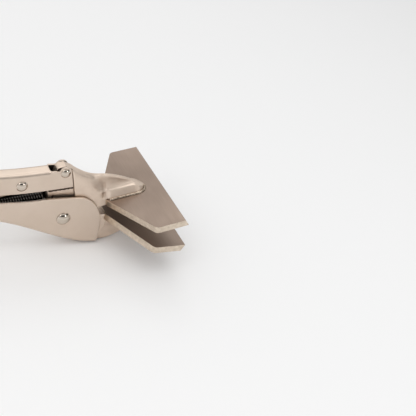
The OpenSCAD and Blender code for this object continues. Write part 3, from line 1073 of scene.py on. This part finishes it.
@dataclass
class SpringSet:
    """Extension spring between the movable jaw's tail and the handle's tab.

    Attributes:
        pivot: Jaw pivot.
        opening: Opening of the jaws at rest, in radians.
        wire: Diameter of the wire.
        wire_steps: Extra segments of each quarter round the wire.
        coil: Outer diameter of the coil.
        curls: Number of curls.
        curl_steps: Points of the route for each curl.
        route_steps: Points of the finished wire for each stretch of the route.
        run: Length of each hook along the spring.
        anchor: Tab's hole behind and above the jaw pivot.
        hook: Jaw's hole behind and above the jaw pivot, jaws closed.
        tab_side: Distance from the middle of the tab to the hooked wire.
        tail_side: Distance from the middle of the jaw's tail to the hooked wire.
        tab_bow: Where the wire leaves the tab, along the spring from the hole and out past tab_side.
        tail_bow: Where it nears the tail, along the spring from the hole and out past tail_side.
        lead: Where the tab's hook meets the coil, back from the coil's end and out past its radius.
        crease: Angle in degrees past which an edge stays sharp.
    """

    pivot: Vector
    opening: float
    wire: float = 0.8 * MM
    wire_steps: int = 3
    coil: float = 5 * MM
    curls: int = 24
    curl_steps: int = 12
    route_steps: int = 3
    run: float = 5.6 * MM
    anchor: Span = (-54 * MM, 6.6 * MM)
    hook: Span = (-4.25 * MM, 15 * MM)
    tab_side: float = 1.65 * MM
    tail_side: float = 3.65 * MM
    tab_bow: tuple[Span, ...] = ((0.5 * MM, 0.1 * MM), (2 * MM, 0.6 * MM))
    tail_bow: tuple[Span, ...] = ((-3.6 * MM, 0.1 * MM), (-1.6 * MM, 0.5 * MM), (-0.4 * MM, -0.1 * MM))
    lead: Span = (1.6 * MM, 0.1 * MM)
    crease: float = 60.0

    def build(self) -> None:
        """Builds and dresses the spring."""
        start = self.pivot + Vector((self.anchor[0], 0.0, self.anchor[1]))
        swing = Matrix.Rotation(-self.opening, 3, "Y")
        end = self.pivot + swing @ Vector((self.hook[0], 0.0, self.hook[1]))
        spring = self._bend(self._smooth(self._route(start, end)))
        shade_smooth(spring, self.crease)
        paint(spring, WIRE)
        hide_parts("spring")
        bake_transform(spring)
        LOG.info("%s: %d faces, between frame and jaw", spring.name, len(spring.data.polygons))

    def _bend(self, route: list[Vector]) -> Piece:
        """Bends the round wire along a route.

        Args:
            route: Points of the route.

        Returns:
            The bent wire.
        """
        curve = bpy.data.curves.new("coil_spring", "CURVE")
        curve.dimensions = "3D"
        curve.bevel_depth = self.wire / 2
        curve.bevel_resolution = self.wire_steps
        curve.use_fill_caps = True
        spline = curve.splines.new("POLY")
        spline.points.add(len(route) - 1)
        spline.points.foreach_set("co", [value for point in route for value in (*point, 1.0)])
        spring = bpy.data.objects.new("coil_spring", curve)
        bpy.context.scene.collection.objects.link(spring)
        activate(spring)
        bpy.ops.object.convert(target="MESH")
        return bpy.context.object

    def _route(self, start: Vector, end: Vector) -> list[Vector]:
        """Works out the wire's route.

        Args:
            start: Middle of the tab's hole.
            end: Middle of the hole in the jaw's tail.

        Returns:
            Points from the hook at the tab to the hook at the jaw.
        """
        length = (end - start).length
        along = (end - start).normalized()
        above = along.cross(ACROSS) * -1.0
        radius = (self.coil - self.wire) / 2
        steps = self.curl_steps * self.curls
        points = [(u, y, 0.0) for u, y in self._tab_hook(radius)]
        for i in range(steps + 1):
            angle = math.tau * self.curls * i / steps
            reach = self.run + (length - 2 * self.run) * i / steps
            points.append((reach, -radius * math.cos(angle), radius * math.sin(angle)))
        points += [(length + u, y, 0.0) for u, y in self._tail_hook()]
        return [start + along * u + ACROSS * y + above * z for u, y, z in points]

    def _tab_hook(self, radius: float) -> Profile:
        """Works out the hook through the handle's tab.

        Args:
            radius: Radius of the coil at the middle of its wire.

        Returns:
            Each point's place along the spring from the tab's hole, and its place across the tool.
        """
        side = self.tab_side
        through = [(0.0, side + self.wire), (0.0, side), (0.0, -side / 2)]
        bow = [(along, -side - out) for along, out in self.tab_bow]
        return through + bow + [(self.run - self.lead[0], -radius - self.lead[1])]

    def _tail_hook(self) -> Profile:
        """Works out the hook through the jaw's tail.

        Returns:
            Each point's place along the spring from the tail's hole, and its place across the tool.
        """
        side = self.tail_side
        bow = [(along, -side - out) for along, out in self.tail_bow]
        return bow + [(0.0, -side / 2), (0.0, side), (0.0, side + self.wire)]

    def _smooth(self, points: list[Vector]) -> list[Vector]:
        """Rounds a route with a curve through its points.

        Args:
            points: Points of the route.

        Returns:
            The rounded route.
        """
        ends = [points[0] * 2 - points[1], *points, points[-1] * 2 - points[-2]]
        route = []
        for a, b, c, d in zip(ends, ends[1:], ends[2:], ends[3:]):
            for i in range(self.route_steps):
                t = i / self.route_steps
                first = (c - a) * (t / 2)
                second = (a * 2 - b * 5 + c * 4 - d) * (t * t / 2)
                third = (b * 3 - a - c * 3 + d) * (t**3 / 2)
                route.append(b + first + second + third)
        return [*route, points[-1]]


@dataclass(frozen=True)
class Lamp:
    """A square lamp that faces the tool.

    Attributes:
        name: Name of the lamp.
        place: Where it hangs.
        size: Width of the lamp.
        power: Power in watts.
    """

    name: str
    place: Triple
    size: float
    power: float

    def build(self) -> None:
        """Builds the lamp."""
        data = bpy.data.lights.new(self.name, "AREA")
        data.size = self.size
        data.energy = self.power
        lamp = bpy.data.objects.new(self.name, data)
        lamp.location = self.place
        lamp.rotation_euler = Vector(self.place).to_track_quat("Z", "Y").to_euler()
        bpy.context.scene.collection.objects.link(lamp)


@dataclass
class Studio:
    """Pale floor, soft lamps, and a pale room with one dark wall on the camera's side.

    Attributes:
        floor_size: Width of the floor.
        floor_gap: Distance of the floor below the object.
        floor_colour: Colour of the floor.
        floor_roughness: Roughness of the floor.
        lamps: Lamps round the object.
        surround: Brightness of the room.
        shade: Brightness of its dark wall.
        shade_side: Level direction of the dark wall.
        shade_edge: Share of a ray that points to the wall, where the wall starts and where it is full.
        shade_foot: Heights of a ray at the wall's lower edge, from light to dark.
        shade_top: Heights of a ray at the wall's upper edge, from light to dark.
    """

    floor_size: float = 6.0
    floor_gap: float = 0.2 * MM
    floor_colour: Triple = (0.97, 0.97, 0.97)
    floor_roughness: float = 0.9
    lamps: tuple[Lamp, ...] = (
        Lamp("top", (-0.1, -0.1, 1.3), size=1.0, power=2.6),
        Lamp("fill", (-1.0, -0.7, 1.1), size=1.0, power=4.4),
        Lamp("key", (0.5, -0.9, 0.5), size=0.3, power=1.08),
        Lamp("back", (0.15, 0.85, 0.95), size=0.6, power=1.0),
    )
    surround: float = 0.88
    shade: float = 0.04
    shade_side: Triple = (0.3, -0.95, 0.0)
    shade_edge: Span = (0.35, 0.65)
    shade_foot: Span = (0.27, 0.32)
    shade_top: Span = (0.62, 0.58)

    def build(self, low: Vector) -> None:
        """Builds the floor, the lamps and the surrounding.

        Args:
            low: Lowest corner of the object.
        """
        bpy.ops.object.select_all(action="DESELECT")
        bpy.ops.mesh.primitive_plane_add(size=self.floor_size, location=(0.0, 0.0, low.z - self.floor_gap))
        floor = bpy.context.object
        floor.name = "floor"
        floor.data.materials.append(self._floor_material())
        floor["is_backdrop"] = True
        for lamp in self.lamps:
            lamp.build()
        self._surround()

    def _floor_material(self) -> bpy.types.Material:
        """Builds the floor's material.

        Returns:
            A pale material that keeps the object's shadow.
        """
        material = bpy.data.materials.new("pale_floor")
        material.use_nodes = True
        shader = material.node_tree.nodes["Principled BSDF"]
        shader.inputs["Base Color"].default_value = (*self.floor_colour, 1.0)
        shader.inputs["Roughness"].default_value = self.floor_roughness
        return material

    def _surround(self) -> None:
        """Builds the surrounding."""
        world = bpy.data.worlds.new("pale_room")
        bpy.context.scene.world = world
        world.use_nodes = True
        world.node_tree.nodes.clear()
        bench = NodeBench(world.node_tree)
        ray = bench.add("ShaderNodeTexCoord", {}).outputs["Generated"]
        height = bench.add("ShaderNodeSeparateXYZ", {"Vector": ray}).outputs["Z"]
        pair = {0: ray, 1: Vector(self.shade_side).normalized()}
        facing = bench.add("ShaderNodeVectorMath", pair, operation="DOT_PRODUCT").outputs["Value"]
        share = bench.ramp(facing, self.shade_edge, curve=Ramp.SOFT)
        for edge in (self.shade_foot, self.shade_top):
            share = bench.join(Joined.PRODUCT, share, bench.ramp(height, edge, curve=Ramp.SOFT))
        level = bench.ramp(share, (0.0, 1.0), (self.surround, self.shade))
        light = bench.add("ShaderNodeBackground", {"Strength": level}).outputs["Background"]
        bench.add("ShaderNodeOutputWorld", {"Surface": light})


@dataclass(frozen=True)
class PhotoCamera:
    """Camera at the photograph's viewing angle.

    Attributes:
        place: Where the camera stands.
        azimuth: Angle round the tool, in degrees.
        elevation: Angle above the lower blade's plane, in degrees.
        roll: Angle by which the camera's right side is raised, in degrees.
        focal: Focal length in pixels of the photograph.
        photo_width: Width of the photograph in pixels.
        sensor_mm: Width of the sensor.
        near: Distance from which the camera sees.
    """

    place: Triple = (-0.2025, -0.3358, 0.2657)
    azimuth: float = -36.67
    elevation: float = 32.86
    roll: float = 18.02
    focal: float = 743.0
    photo_width: int = 416
    sensor_mm: float = 36.0
    near: float = 0.01

    def build(self) -> None:
        """Builds the camera and makes it the scene's camera."""
        a, e, r = (math.radians(angle) for angle in (self.azimuth, self.elevation, self.roll))
        back = Vector((math.sin(a) * math.cos(e), -math.cos(a) * math.cos(e), math.sin(e)))
        level = Vector((math.cos(a), math.sin(a), 0.0))
        upright = back.cross(level)
        right = level * math.cos(r) + upright * math.sin(r)
        up = back.cross(right)
        data = bpy.data.cameras.new("photo_camera")
        data.sensor_width = self.sensor_mm
        data.sensor_fit = "HORIZONTAL"
        data.lens = self.focal / self.photo_width * self.sensor_mm
        data.clip_start = self.near
        camera = bpy.data.objects.new("photo_camera", data)
        turn = Matrix((right, up, back)).transposed().to_4x4()
        camera.matrix_world = Matrix.Translation(Vector(self.place)) @ turn
        bpy.context.scene.collection.objects.link(camera)
        bpy.context.scene.camera = camera


def jaw_rest(frame: dict) -> tuple[Vector, float]:
    """Reads the jaw's pivot and its opening at rest from the frame.

    Args:
        frame: The loaded frame.

    Returns:
        The pivot, and the opening in radians.
    """
    joint = next(j for j in frame["joints"] if j["name"] == "jaw_pivot")
    face = next(m for m in frame["record"]["mounts"] if m["name"] == "upper_grip_face")
    return Vector(joint["pos_m"]), math.atan2(face["axis"][0], -face["axis"][2])


def main() -> None:
    """Loads the frame, builds every sub-assembly, and sets the stage."""
    logging.basicConfig(level=logging.INFO, format="%(name)s: %(message)s")
    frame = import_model()
    low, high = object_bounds()
    spring = SpringSet(*jaw_rest(frame))
    for assembly in (PressedSheet(), Jaws(), Blades(), Rivets(), ScrewSet(), ToggleSet(), spring):
        assembly.build()
    Studio().build(low)
    PhotoCamera().build()
    bpy.context.scene.view_settings.view_transform = "Standard"
    bpy.context.view_layer.update()


if __name__ == "__main__":
    main()
